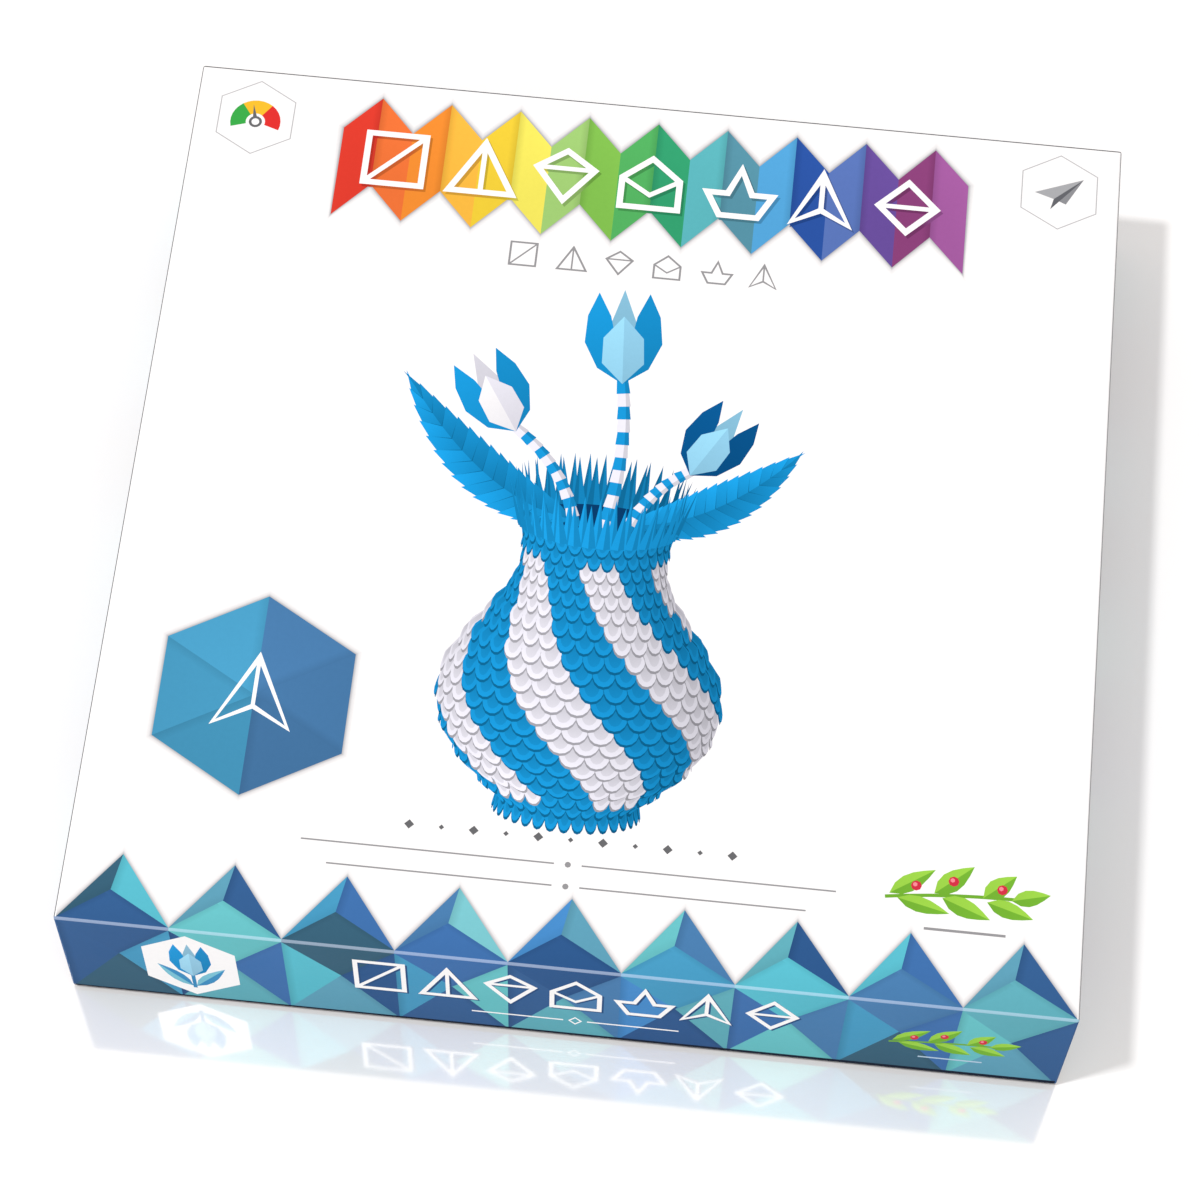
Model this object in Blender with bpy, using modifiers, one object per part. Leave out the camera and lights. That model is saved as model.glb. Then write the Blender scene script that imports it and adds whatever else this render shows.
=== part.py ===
"""A square kit box of paper-wrapped greyboard, closed, with the paper of its kit inside.

The lid telescopes over the tray for nearly its whole height, so that only a thin line of the
tray shows under the lid's rim. In the tray lie a folded instruction leaflet, eight banded
stacks of paper slips and a sheet of stickers.

The lid's print is cut into its outer faces as plain fields of colour: peaks along the front of
the cover, a folded ribbon, a badge, a vase of flowers, and a zigzag round the walls.

The frame: +Z up, -Y is the printed front wall, and the origin is the middle of the underside.
"""

import math

import bmesh
import bpy
from mathutils import Matrix, Vector

# Outside of the closed box
BOX_WIDTH = 0.250
BOX_DEPTH = 0.250
BOX_HEIGHT = 0.047

# Board and wrapping paper
LID_WALL = 0.0018
TRAY_WALL = 0.0018
EDGE_RADIUS = 0.0006
EDGE_SEGMENTS = 3
TURN_IN_HEIGHT = 0.016
TURN_IN_THICKNESS = 0.0002
TURN_IN_FADE = 0.0012

# Cuts of the print that pass this close to a corner run through it
CUT_TOLERANCE = 0.00001

# How the lid sits on the tray
LID_SIDE_PLAY = 0.0008
RIM_ABOVE_TABLE = 0.0010
TOUCH_GAP = 0.0003

# Instruction leaflet, folded to this size
LEAFLET_LENGTH = 0.210
LEAFLET_WIDTH = 0.148
LEAFLET_THICKNESS = 0.0018
LEAFLET_FORWARD = 0.020

# Paper slips, in banded stacks on the leaflet
SLIP_LENGTH = 0.053
SLIP_WIDTH = 0.037
STACK_HEIGHT = 0.0062
STACK_ROWS = 2
STACK_COLUMNS = 4
STACK_SPACING_X = 0.006
STACK_SPACING_Y = 0.010
BAND_WIDTH = 0.018
BAND_THICKNESS = 0.0003
BAND_CORNER = 0.0004

# Sticker sheet, on the tray's floor behind the leaflet
STICKER_LENGTH = 0.080
STICKER_WIDTH = 0.035
STICKER_THICKNESS = 0.0004

# Print on the lid, measured from the cover's middle and edges
PEAK_COUNT = 9
PEAK_HEIGHT = 0.0175
RIBBON_PANELS = 18
RIBBON_PANEL_WIDTH = 0.0094
RIBBON_HALF_HEIGHT = 0.0138
RIBBON_SLANT = 0.0052
RIBBON_FROM_BACK = 0.0244
BADGE_RADIUS = 0.0275
BADGE_FROM_LEFT = 0.0402
BADGE_FROM_FRONT = 0.0647
PICTURE_FROM_FRONT = 0.045
PICTURE_WIDEST = 0.035
PICTURE_LEFT = 0.004
SMALL_PICTURE_HALF_WIDTH = 0.0116
SMALL_PICTURE_HALF_HEIGHT = 0.020
SMALL_PICTURE_FROM_LEFT = 0.032

# Heights and half sizes that follow from the ones above
LID_UNDERSIDE = BOX_HEIGHT - LID_WALL
TRAY_TOP = LID_UNDERSIDE - TOUCH_GAP
TRAY_HALF_X = BOX_WIDTH / 2 - LID_WALL - LID_SIDE_PLAY
TRAY_HALF_Y = BOX_DEPTH / 2 - LID_WALL - LID_SIDE_PLAY
LEAFLET_BOTTOM = TRAY_WALL + TOUCH_GAP
LEAFLET_TOP = LEAFLET_BOTTOM + LEAFLET_THICKNESS
BAND_BOTTOM = LEAFLET_TOP + TOUCH_GAP
STACK_BOTTOM = BAND_BOTTOM + BAND_THICKNESS + TOUCH_GAP

# The fields stay this far from the folds, clear of the walls behind them
PRINT_MARGIN = LID_WALL + TURN_IN_THICKNESS + 2 * EDGE_RADIUS

PRINT_COLOURS = {
    "white_print": (0.93, 0.94, 0.95),
    "navy_print": (0.034, 0.109, 0.287),
    "blue_print": (0.064, 0.205, 0.423),
    "teal_print": (0.109, 0.347, 0.479),
    "turquoise_print": (0.102, 0.503, 0.617),
    "picture_blue_print": (0.010, 0.315, 0.701),
    "red_print": (0.730, 0.048, 0.030),
    "orange_print": (0.871, 0.270, 0.034),
    "yellow_print": (0.855, 0.617, 0.045),
    "green_print": (0.216, 0.515, 0.080),
    "violet_print": (0.138, 0.076, 0.332),
    "purple_print": (0.361, 0.107, 0.352),
    "grey_liner": (0.62, 0.60, 0.57),
}
RIBBON_ORDER = (
    "red_print", "orange_print", "yellow_print", "green_print", "teal_print",
    "turquoise_print", "blue_print", "violet_print", "purple_print",
)
NAVY_PAPER = (0.01, 0.02, 0.05)
LEAFLET_PAPER = (0.86, 0.87, 0.86)
WHITE_SLIPS = (0.90, 0.90, 0.92)
BLUE_SLIPS = (0.01, 0.32, 0.70)
BAND_PAPER = (0.80, 0.78, 0.72)
STICKER_PAPER = (0.92, 0.92, 0.90)


def clear_scene():
    for old in list(bpy.data.objects):
        bpy.data.objects.remove(old, do_unlink=True)


def paper_material(name, colour, roughness):
    material = bpy.data.materials.new(name)
    material.use_nodes = True
    shader = material.node_tree.nodes["Principled BSDF"]
    shader.inputs["Base Color"].default_value = (*colour, 1.0)
    shader.inputs["Roughness"].default_value = roughness
    shader.inputs["Metallic"].default_value = 0.0
    return material


def add_object(name, data, collection, materials, location=(0, 0, 0)):
    placed = bpy.data.objects.new(name, data)
    placed.location = location
    collection.objects.link(placed)
    for material in materials:
        data.materials.append(material)
    return placed


def wrapped_board_box(
    name, half_x, half_y, low, high, wall, opens_up, collection, materials, draw_print=None
):
    """An open box of board: a cube without one face, given its wall inwards.

    The wrapping paper turns in over the rim, so the wall is thicker along it, and fades
    back to the plain wall over TURN_IN_FADE. The inner faces take the last material.
    """
    mesh = bpy.data.meshes.new(name)
    bm = bmesh.new()
    size = Matrix.Diagonal((2 * half_x, 2 * half_y, high - low, 1))
    bmesh.ops.create_cube(bm, size=1, matrix=Matrix.Translation((0, 0, (low + high) / 2)) @ size)

    rim, inwards = (high, -1) if opens_up else (low, 1)
    bm.faces.ensure_lookup_table()
    open_face = max(bm.faces, key=lambda face: face.calc_center_median().z * -inwards)
    bmesh.ops.delete(bm, geom=[open_face], context="FACES_ONLY")

    if draw_print:
        draw_print(bm)
    turn_in_edge = rim + inwards * TURN_IN_HEIGHT
    for cut in (turn_in_edge, turn_in_edge + inwards * TURN_IN_FADE):
        bmesh.ops.bisect_plane(
            bm,
            geom=bm.verts[:] + bm.edges[:] + bm.faces[:],
            plane_co=(0, 0, cut),
            plane_no=(0, 0, 1),
        )
    bm.to_mesh(mesh)
    bm.free()

    box = add_object(name, mesh, collection, materials)
    thickness = box.vertex_groups.new(name="wall_thickness")
    full = wall + TURN_IN_THICKNESS
    for vertex in mesh.vertices:
        from_rim = abs(vertex.co.z - rim)
        turned_in = from_rim < TURN_IN_HEIGHT + TURN_IN_FADE / 2
        thickness.add([vertex.index], 1.0 if turned_in else wall / full, "REPLACE")

    solid = box.modifiers.new("wall", "SOLIDIFY")
    solid.thickness = full
    solid.offset = -1
    solid.use_even_offset = True
    solid.vertex_group = thickness.name
    solid.material_offset = len(materials) - 1

    rounded = box.modifiers.new("wrapped_edges", "BEVEL")
    rounded.width = min(EDGE_RADIUS, wall / 2.5)
    rounded.segments = EDGE_SEGMENTS
    rounded.limit_method = "ANGLE"
    rounded.angle_limit = math.radians(50)
    mesh.shade_smooth()
    mesh.set_sharp_from_angle(angle=math.radians(35))
    return box


def flat_outline(name, outlines, thickness, collection, materials):
    """A 2D curve with these closed outlines, filled and extruded to the thickness."""
    curve = bpy.data.curves.new(name, "CURVE")
    curve.dimensions = "2D"
    curve.fill_mode = "BOTH"
    curve.extrude = thickness / 2
    for outline in outlines:
        spline = curve.splines.new("POLY")
        spline.points.add(len(outline) - 1)
        for point, (x, y) in zip(spline.points, outline):
            point.co = (x, y, 0, 1)
        spline.use_cyclic_u = True
    return add_object(name, curve, collection, materials)


def rounded_rectangle(half_x, half_y, radius, steps=3):
    """Corner arcs of a rectangle about the origin, anticlockwise."""
    points = []
    for corner, (side_x, side_y) in enumerate(((1, 1), (-1, 1), (-1, -1), (1, -1))):
        centre = Vector((side_x * (half_x - radius), side_y * (half_y - radius)))
        for step in range(steps + 1):
            angle = math.radians(90) * (corner + step / steps)
            points.append(tuple(centre + radius * Vector((math.cos(angle), math.sin(angle)))))
    return points


def folded_sheet_section(width, thickness, steps=6):
    """The leaflet's end view: square at its open edges and half round at the fold."""
    radius = thickness / 2
    fold_centre = -width / 2 + radius
    points = [(width / 2, -radius), (width / 2, radius)]
    for step in range(steps + 1):
        angle = math.radians(90 + 180 * step / steps)
        points.append((fold_centre + radius * math.cos(angle), radius * math.sin(angle)))
    return points


def cut_field(bm, facing, corners, ink, turn=0.0):
    """Cuts a convex field out of the outer faces that face one way, and gives it an ink.

    Corners lie anticlockwise as seen from outside. Turn swings a front wall's field round to
    another wall.
    """
    spin = Matrix.Rotation(turn, 3, "Z")
    facing = spin @ Vector(facing)
    corners = [spin @ Vector(corner) for corner in corners]
    inside = [face for face in bm.faces if face.normal.dot(facing) > 0.9]
    for start, end in zip(corners, corners[1:] + corners[:1]):
        outwards = (end - start).cross(facing)
        edges = {edge for face in inside for edge in face.edges}
        verts = {vert for face in inside for vert in face.verts}
        cut = bmesh.ops.bisect_plane(
            bm,
            geom=[*verts, *edges, *inside],
            dist=CUT_TOLERANCE,
            plane_co=start,
            plane_no=outwards,
        )
        inside = [
            face for face in cut["geom"]
            if isinstance(face, bmesh.types.BMFace)
            and outwards.dot(face.calc_center_median() - start) < 0
        ]
    for face in inside:
        face.material_index = list(PRINT_COLOURS).index(ink)


def print_on_cover(bm, corners, ink):
    cut_field(bm, (0, 0, 1), [(x, y, BOX_HEIGHT) for x, y in corners], ink)


def print_peaks(bm):
    """Two-tone peaks on a plain strip along the front fold."""
    front = -BOX_DEPTH / 2
    base = front + PRINT_MARGIN
    half = BOX_WIDTH / 2
    print_on_cover(bm, [(-half, front), (half, front), (half, base), (-half, base)], "navy_print")
    pitch = (BOX_WIDTH - 2 * PRINT_MARGIN) / PEAK_COUNT
    for number in range(PEAK_COUNT):
        left = -half + PRINT_MARGIN + number * pitch
        middle = left + pitch / 2
        peak = (middle, base + PEAK_HEIGHT)
        print_on_cover(bm, [(left, base), (middle, base), peak], "turquoise_print")
        print_on_cover(bm, [(middle, base), (left + pitch, base), peak], "blue_print")


def print_ribbon(bm):
    """A ribbon folded to and fro, in the order of the rainbow."""
    middle_y = BOX_DEPTH / 2 - RIBBON_FROM_BACK
    for number in range(RIBBON_PANELS):
        left = (number - RIBBON_PANELS / 2) * RIBBON_PANEL_WIDTH
        right = left + RIBBON_PANEL_WIDTH
        slant = RIBBON_SLANT if number % 2 else -RIBBON_SLANT
        corners = [
            (left, middle_y + slant - RIBBON_HALF_HEIGHT),
            (right, middle_y - slant - RIBBON_HALF_HEIGHT),
            (right, middle_y - slant + RIBBON_HALF_HEIGHT),
            (left, middle_y + slant + RIBBON_HALF_HEIGHT),
        ]
        ink = RIBBON_ORDER[number * len(RIBBON_ORDER) // RIBBON_PANELS]
        print_on_cover(bm, corners, ink)


def print_badge(bm):
    """A six-sided badge with a lighter left half."""
    middle = Vector((-BOX_WIDTH / 2 + BADGE_FROM_LEFT, -BOX_DEPTH / 2 + BADGE_FROM_FRONT))
    corners = []
    for side in range(6):
        angle = math.radians(90 + 60 * side)
        corners.append(middle + BADGE_RADIUS * Vector((math.cos(angle), math.sin(angle))))
    print_on_cover(bm, corners[:4], "teal_print")
    print_on_cover(bm, corners[3:] + corners[:1], "blue_print")


def print_picture(bm):
    """A striped round vase with three flowers and two leaves, in units of its widest radius."""
    foot_y = -BOX_DEPTH / 2 + PICTURE_FROM_FRONT
    size = PICTURE_WIDEST

    def shape(ink, *points):
        corners = [(x * size - PICTURE_LEFT, y * size + foot_y) for x, y in points]
        print_on_cover(bm, corners, ink)

    shape("picture_blue_print", (-0.6, 2.1), (-1.5, 3.2), (-1.1, 2.4))
    shape("picture_blue_print", (0.6, 2.1), (1.1, 2.4), (1.4, 2.8))
    shape("turquoise_print", (0, 3.3), (0.3, 3.7), (0, 4.2), (-0.3, 3.7))
    shape("turquoise_print", (-0.7, 2.9), (-0.6, 3.4), (-1.0, 3.6), (-1.0, 3.1))
    shape("turquoise_print", (0.7, 2.7), (1.0, 2.9), (1.0, 3.4), (0.6, 3.1))
    shape("navy_print", (-0.04, 2.6), (0.04, 2.6), (0.04, 3.3), (-0.04, 3.3))
    shape("navy_print", (-0.3, 2.6), (-0.22, 2.6), (-0.67, 2.94), (-0.73, 2.9))
    shape("navy_print", (0.22, 2.6), (0.3, 2.6), (0.73, 2.7), (0.67, 2.76))
    shape("picture_blue_print", (-0.45, 1.9), (0.45, 1.9), (0.6, 2.6), (-0.6, 2.6))
    shape(
        "picture_blue_print",
        (-0.45, 0), (0.45, 0), (0.85, 0.3), (1, 0.8), (0.85, 1.3), (0.45, 1.9), (-0.45, 1.9),
        (-0.85, 1.3), (-1, 0.8), (-0.85, 0.3),
    )
    shape("white_print", (-0.85, 0.45), (-0.55, 0.2), (-0.6, 1.3), (-0.75, 1.3))
    shape("white_print", (0, 0.08), (0.4, 0.08), (-0.05, 1.2), (-0.4, 1.2))
    shape("white_print", (-0.4, 1.2), (-0.05, 1.2), (-0.15, 1.8), (-0.3, 1.8))
    shape("white_print", (0.6, 0.4), (0.85, 0.5), (0.4, 1.5), (0.25, 1.5))


def print_walls(bm):
    """A zigzag of two tones round all four walls, and a white field for a small picture."""
    for face in bm.faces:
        if abs(face.normal.z) < 0.1:
            face.material_index = list(PRINT_COLOURS).index("navy_print")
    facing = (0, -1, 0)
    top, foot = BOX_HEIGHT - PRINT_MARGIN, RIM_ABOVE_TABLE + PRINT_MARGIN
    for wall in range(4):
        half, away = BOX_WIDTH / 2, BOX_DEPTH / 2
        if wall % 2:
            half, away = away, half
        pitch = 2 * (half - PRINT_MARGIN) / PEAK_COUNT
        for number in range(PEAK_COUNT):
            left = -half + PRINT_MARGIN + number * pitch
            corners = [(left + pitch, -away, top), (left, -away, top), (left + pitch / 2, -away, foot)]
            ink = "teal_print" if number % 2 else "blue_print"
            cut_field(bm, facing, corners, ink, math.radians(90 * wall))

    front = -BOX_DEPTH / 2
    middle_x = -BOX_WIDTH / 2 + SMALL_PICTURE_FROM_LEFT
    middle_z = (BOX_HEIGHT + RIM_ABOVE_TABLE) / 2
    corners = [
        (middle_x - SMALL_PICTURE_HALF_WIDTH, front, middle_z),
        (middle_x, front, middle_z - SMALL_PICTURE_HALF_HEIGHT),
        (middle_x + SMALL_PICTURE_HALF_WIDTH, front, middle_z),
        (middle_x, front, middle_z + SMALL_PICTURE_HALF_HEIGHT),
    ]
    cut_field(bm, facing, corners, "white_print")


def join_like_faces(bm):
    """Joins a side's faces of one ink again where a cut ran on beyond its field."""
    bmesh.ops.dissolve_limit(
        bm, angle_limit=math.radians(1), edges=bm.edges[:], verts=bm.verts[:], delimit={"MATERIAL"}
    )


def draw_lid_print(bm):
    for draw in (print_peaks, print_ribbon, print_badge, print_picture, print_walls):
        draw(bm)
        join_like_faces(bm)


def make_lid(collection):
    inks = [paper_material(name, colour, 0.35) for name, colour in PRINT_COLOURS.items()]
    wrapped_board_box(
        "lid", BOX_WIDTH / 2, BOX_DEPTH / 2, RIM_ABOVE_TABLE, BOX_HEIGHT, LID_WALL, False,
        collection, inks, draw_lid_print,
    )


def make_tray(collection):
    wrap = paper_material("navy_wrap", NAVY_PAPER, 0.5)
    wrapped_board_box(
        "tray", TRAY_HALF_X, TRAY_HALF_Y, 0.0, TRAY_TOP, TRAY_WALL, True, collection, [wrap]
    )


def make_leaflet(collection):
    leaflet = flat_outline(
        "instruction_leaflet",
        [folded_sheet_section(LEAFLET_WIDTH, LEAFLET_THICKNESS)],
        LEAFLET_LENGTH,
        collection,
        [paper_material("leaflet_paper", LEAFLET_PAPER, 0.6)],
    )
    leaflet.rotation_euler = (math.radians(90), 0, math.radians(90))
    leaflet.location = (0, -LEAFLET_FORWARD, LEAFLET_BOTTOM + LEAFLET_THICKNESS / 2)


def slip_places():
    """The middle of each stack: rows and columns centred on the leaflet."""
    pitch_x = SLIP_WIDTH + STACK_SPACING_X
    pitch_y = SLIP_LENGTH + STACK_SPACING_Y
    for row in range(STACK_ROWS):
        for column in range(STACK_COLUMNS):
            x = (column - (STACK_COLUMNS - 1) / 2) * pitch_x
            y = (row - (STACK_ROWS - 1) / 2) * pitch_y - LEAFLET_FORWARD
            yield row * STACK_COLUMNS + column, x, y


def make_slip_stacks(collection):
    white = paper_material("white_slips", WHITE_SLIPS, 0.7)
    blue = paper_material("blue_slips", BLUE_SLIPS, 0.7)
    for number, x, y in slip_places():
        is_blue = number % 2 == 1
        colour = "blue" if is_blue else "white"
        middle = STACK_BOTTOM + STACK_HEIGHT / 2
        bpy.ops.mesh.primitive_cube_add(size=1, location=(x, y, middle))
        stack = bpy.context.object
        stack.name = f"{colour}_slips_{number // 2 + 1}"
        stack.data.name = stack.name
        stack.data.transform(Matrix.Diagonal((SLIP_WIDTH, SLIP_LENGTH, STACK_HEIGHT, 1)))
        stack.data.materials.append(blue if is_blue else white)
        for holder in list(stack.users_collection):
            holder.objects.unlink(stack)
        collection.objects.link(stack)


def make_bands(collection):
    paper = paper_material("band_paper", BAND_PAPER, 0.8)
    inner_x = SLIP_WIDTH / 2 + TOUCH_GAP
    inner_z = STACK_HEIGHT / 2 + TOUCH_GAP
    outer = rounded_rectangle(
        inner_x + BAND_THICKNESS, inner_z + BAND_THICKNESS, BAND_CORNER + BAND_THICKNESS
    )
    inner = rounded_rectangle(inner_x, inner_z, BAND_CORNER)
    for number, x, y in slip_places():
        band = flat_outline(
            f"paper_band_{number + 1}", [outer, inner[::-1]], BAND_WIDTH, collection, [paper]
        )
        band.rotation_euler = (math.radians(90), 0, 0)
        band.location = (x, y, STACK_BOTTOM + STACK_HEIGHT / 2)


def make_sticker_sheet(collection):
    leaflet_back = LEAFLET_WIDTH / 2 - LEAFLET_FORWARD
    floor_back = TRAY_HALF_Y - TRAY_WALL - TURN_IN_THICKNESS
    middle = (leaflet_back + floor_back) / 2
    sheet = flat_outline(
        "sticker_sheet",
        [rounded_rectangle(STICKER_LENGTH / 2, STICKER_WIDTH / 2, 0.002)],
        STICKER_THICKNESS,
        collection,
        [paper_material("sticker_paper", STICKER_PAPER, 0.4)],
    )
    sheet.location = (0, middle, TRAY_WALL + TOUCH_GAP + STICKER_THICKNESS / 2)


def main():
    clear_scene()
    collection = bpy.data.collections.new("origami_kit_box")
    bpy.context.scene.collection.children.link(collection)
    make_tray(collection)
    make_leaflet(collection)
    make_slip_stacks(collection)
    make_bands(collection)
    make_sticker_sheet(collection)
    make_lid(collection)


main()
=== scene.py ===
"""The looks of a papercraft kit box: its printed lid, wrapped tray, papers, floor, light and camera.

The print is drawn flat, in millimetres, as fields of colour. Each flat side of the lid is cut
along the outlines of its drawing, and every cut field keeps its ink in the attribute "print".
"""

import math
from collections import namedtuple

import bmesh
import bpy
from mathutils import Matrix, Vector
from mathutils.geometry import delaunay_2d_cdt


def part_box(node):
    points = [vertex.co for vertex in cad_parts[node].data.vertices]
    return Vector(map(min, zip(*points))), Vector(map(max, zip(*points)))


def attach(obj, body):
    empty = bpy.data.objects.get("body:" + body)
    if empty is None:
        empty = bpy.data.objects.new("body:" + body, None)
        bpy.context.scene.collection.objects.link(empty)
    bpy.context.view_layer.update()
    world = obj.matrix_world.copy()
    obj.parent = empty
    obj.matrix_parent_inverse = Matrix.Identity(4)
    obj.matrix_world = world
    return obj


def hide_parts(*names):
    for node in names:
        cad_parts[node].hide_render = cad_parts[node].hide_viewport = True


bl_info = {
    "name": "Kit Box Looks",
    "version": (1, 0, 0),
    "blender": (4, 5, 0),
    "location": "3D View > Sidebar > Kit Box",
    "description": "Dresses a lidded papercraft kit box in its print, papers and studio",
    "category": "Object",
}

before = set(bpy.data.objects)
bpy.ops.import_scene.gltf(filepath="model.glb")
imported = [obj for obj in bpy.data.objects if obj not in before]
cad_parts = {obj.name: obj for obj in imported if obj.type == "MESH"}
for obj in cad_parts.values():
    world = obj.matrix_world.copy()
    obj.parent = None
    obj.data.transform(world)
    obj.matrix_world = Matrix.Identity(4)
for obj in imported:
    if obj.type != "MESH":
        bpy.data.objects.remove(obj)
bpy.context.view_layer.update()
LID_LOW, LID_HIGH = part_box("lid")
TRAY_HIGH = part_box("tray")[1]

MM = 0.001
PRINT_ATTRIBUTE = "print"

# Sizes on the box in millimetres, and one area in square millimetres.
# A painted rim shadow, the dark band along the foot of a wall, has its height at the wall's left end
# and at its right end.
MERGE_DISTANCE = 0.001
SAME_POINT = 0.0001
OVERRUN = 0.05
FRONT_RIM_SHADOW = (0.7, 1.9)
SIDE_RIM_SHADOW = (0.5, 0.5)
FOLD_REACH = 0.7
LID_TURN_IN = 18
TRAY_TURN_IN = 16
TRAY_SKIN = 1.0
LARGEST_ROUNDED_AREA = 400
RIBBON_HALF_WIDTH = 84.4
HEXAGON_RADIUS = 11.6
SHADOW_REACH = 1.7
VASE_FOOT = -80

# Where most of the noise lies, and how glossy the floor and the papers are.
NOISE_RANGE = (0.3, 0.7)
FLOOR_ROUGHNESS = 0.08
FLOOR_IOR = 4.0
PRINT_SPECULAR = 0.006
PAPER_SPECULAR = 0.3

# The camera's turns in degrees, its place from the cover's middle in widths of the box,
# and its sensor in millimetres.
CAMERA_AZIMUTH = 3.9377
CAMERA_ELEVATION = 63.7335
CAMERA_ROLL = 2.0555
CAMERA_PLACE = (0.11266, -1.81941, 3.49471)
SENSOR_WIDTH = 36.0


# Colours: palette values are screen values from 0 to 255, inks are linear

Ink = namedtuple("Ink", "r g b")


def ink(red, green, blue):
    """A linear ink from screen values."""
    linear = []
    for value in (red, green, blue):
        share = value / 255
        linear.append(share / 12.92 if share <= 0.04045 else ((share + 0.055) / 1.055) ** 2.4)
    return Ink(*linear)


def mix(first, second, share):
    return Ink(*(a + (b - a) * share for a, b in zip(first, second)))


def shaded(colour, factor):
    return Ink(*(min(part * factor, 1.0) for part in colour))


PAPER_WHITE = ink(249, 249, 250)
WHITE_INK = ink(252, 252, 253)
RULE_GREY = ink(150, 150, 153)
DARK_GREY = ink(104, 105, 108)
OUTLINE_GREY = ink(186, 187, 190)
# Painted shade on the rounded folds at the cover's left, right and back edge, darker on some sides
# than on others.
LEFT_FOLD_SHADE = ink(108, 109, 112)
RIGHT_FOLD_SHADE = ink(156, 157, 160)
BACK_FOLD_SHADE = DARK_GREY
SHADOW_INK = ink(150, 150, 156)
# Painted shadow: the dark ink along the foot of the lid's walls, for the shade under the lid's edge.
RIM_SHADOW_NAVY = ink(14, 26, 46)
# Painted highlight and rubbed wear on the front fold: the pale ink mixed into the rounded fold.
FOLD_HIGHLIGHT_AND_WEAR = ink(216, 230, 252)
BOARD_GREY = ink(176, 172, 164)

DEEP_TEAL = ink(57, 97, 120)
TURQUOISE = ink(90, 188, 206)
STEEL_TEAL = ink(94, 159, 184)
ROYAL_BLUE = ink(54, 95, 146)
SKY_TEAL = ink(72, 154, 194)
MID_BLUE = ink(64, 112, 172)
DUSTY_BLUE = ink(74, 125, 174)
PALE_TURQUOISE = ink(122, 197, 206)
BRIGHT_BLUE = ink(72, 140, 203)
AQUA = ink(104, 192, 198)
MUTED_TEAL = ink(96, 172, 186)
NAVY = ink(47, 88, 140)

PEAK_INKS = (
    (DEEP_TEAL, TURQUOISE, ROYAL_BLUE),
    (STEEL_TEAL, ROYAL_BLUE, AQUA),
    (SKY_TEAL, MID_BLUE, DEEP_TEAL),
    (DUSTY_BLUE, PALE_TURQUOISE, MID_BLUE),
    (BRIGHT_BLUE, STEEL_TEAL, NAVY),
    (AQUA, DUSTY_BLUE, SKY_TEAL),
    (MUTED_TEAL, NAVY, TURQUOISE),
    (TURQUOISE, MID_BLUE, DUSTY_BLUE),
    (STEEL_TEAL, ROYAL_BLUE, MUTED_TEAL),
)
KITE_INKS = (
    (NAVY, ROYAL_BLUE),
    (SKY_TEAL, NAVY),
    (MID_BLUE, TURQUOISE),
    (NAVY, SKY_TEAL),
    (AQUA, ROYAL_BLUE),
    (DUSTY_BLUE, BRIGHT_BLUE),
    (MUTED_TEAL, MID_BLUE),
    (DUSTY_BLUE, SKY_TEAL),
    (MID_BLUE, AQUA),
    (ROYAL_BLUE, NAVY),
)
FOOT_INKS = (
    DEEP_TEAL, MUTED_TEAL, STEEL_TEAL, ROYAL_BLUE, MUTED_TEAL,
    NAVY, AQUA, DEEP_TEAL, STEEL_TEAL,
)
RIBBON_INKS = (
    (ink(222, 62, 48), ink(236, 116, 58)),
    (ink(240, 142, 52), ink(246, 186, 68)),
    (ink(238, 206, 60), ink(240, 230, 96)),
    (ink(160, 205, 118), ink(128, 190, 80)),
    (ink(84, 178, 98), ink(52, 160, 112)),
    (ink(92, 182, 190), ink(86, 146, 166)),
    (ink(84, 166, 220), ink(44, 84, 164)),
    (ink(90, 118, 186), ink(104, 78, 156)),
    (ink(138, 66, 122), ink(162, 92, 160)),
)


# Plane geometry in millimetres

def turned(points, origin, turn=0.0, scale=1.0):
    """Points about (0, 0), scaled, turned by an angle and moved to the origin given."""
    spin = Matrix.Rotation(turn, 2)
    return [Vector(origin) + spin @ (Vector(point) * scale) for point in points]


def even_sided(centre, radius, sides):
    """The corners of a regular outline, the topmost first."""
    angles = (math.pi / 2 + 2 * math.pi * side / sides for side in range(sides))
    return [Vector(centre) + radius * Vector((math.cos(a), math.sin(a))) for a in angles]


def corner_shift(before, corner, after):
    """How a corner moves outwards when both of its edges move outwards by one."""
    first, second = (corner - before).normalized(), (after - corner).normalized()
    out_first, out_second = Vector((first.y, -first.x)), Vector((second.y, -second.x))
    both = out_first + out_second
    return both / max(both.dot(out_first), 0.35)


def outset(points, distance):
    """An anticlockwise outline with each edge moved outwards."""
    count = len(points)
    return [
        points[n] + distance * corner_shift(points[n - 1], points[n], points[(n + 1) % count])
        for n in range(count)
    ]


def bent_line(start, middle, end, steps):
    """Points on a curve that leaves start towards middle and arrives at end."""
    start, middle, end = Vector(start), Vector(middle), Vector(end)
    for step in range(steps + 1):
        t = step / steps
        yield start.lerp(middle, t).lerp(middle.lerp(end, t), t)


def outline_area(points):
    """The area inside an outline, below zero when it runs clockwise."""
    return sum(a.cross(b) for a, b in zip(points, points[1:] + points[:1])) / 2


def distance_to_outline(point, points):
    least = math.inf
    for n, start in enumerate(points):
        run = points[(n + 1) % len(points)] - start
        share = min(max((point - start).dot(run) / run.length_squared, 0), 1)
        least = min(least, (point - start - share * run).length)
    return least


def middle_of(points):
    return sum(points, Vector((0, 0))) / len(points)


def mirrored(points):
    return tuple((-x, y) for x, y in points)


def beside_crease(corner, beyond, across, width):
    """The point on the way from a corner to the next that lies the width off the crease."""
    arm = beyond - corner
    return corner + arm * min(width / max(arm.dot(across), 0.01), 0.9)


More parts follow.
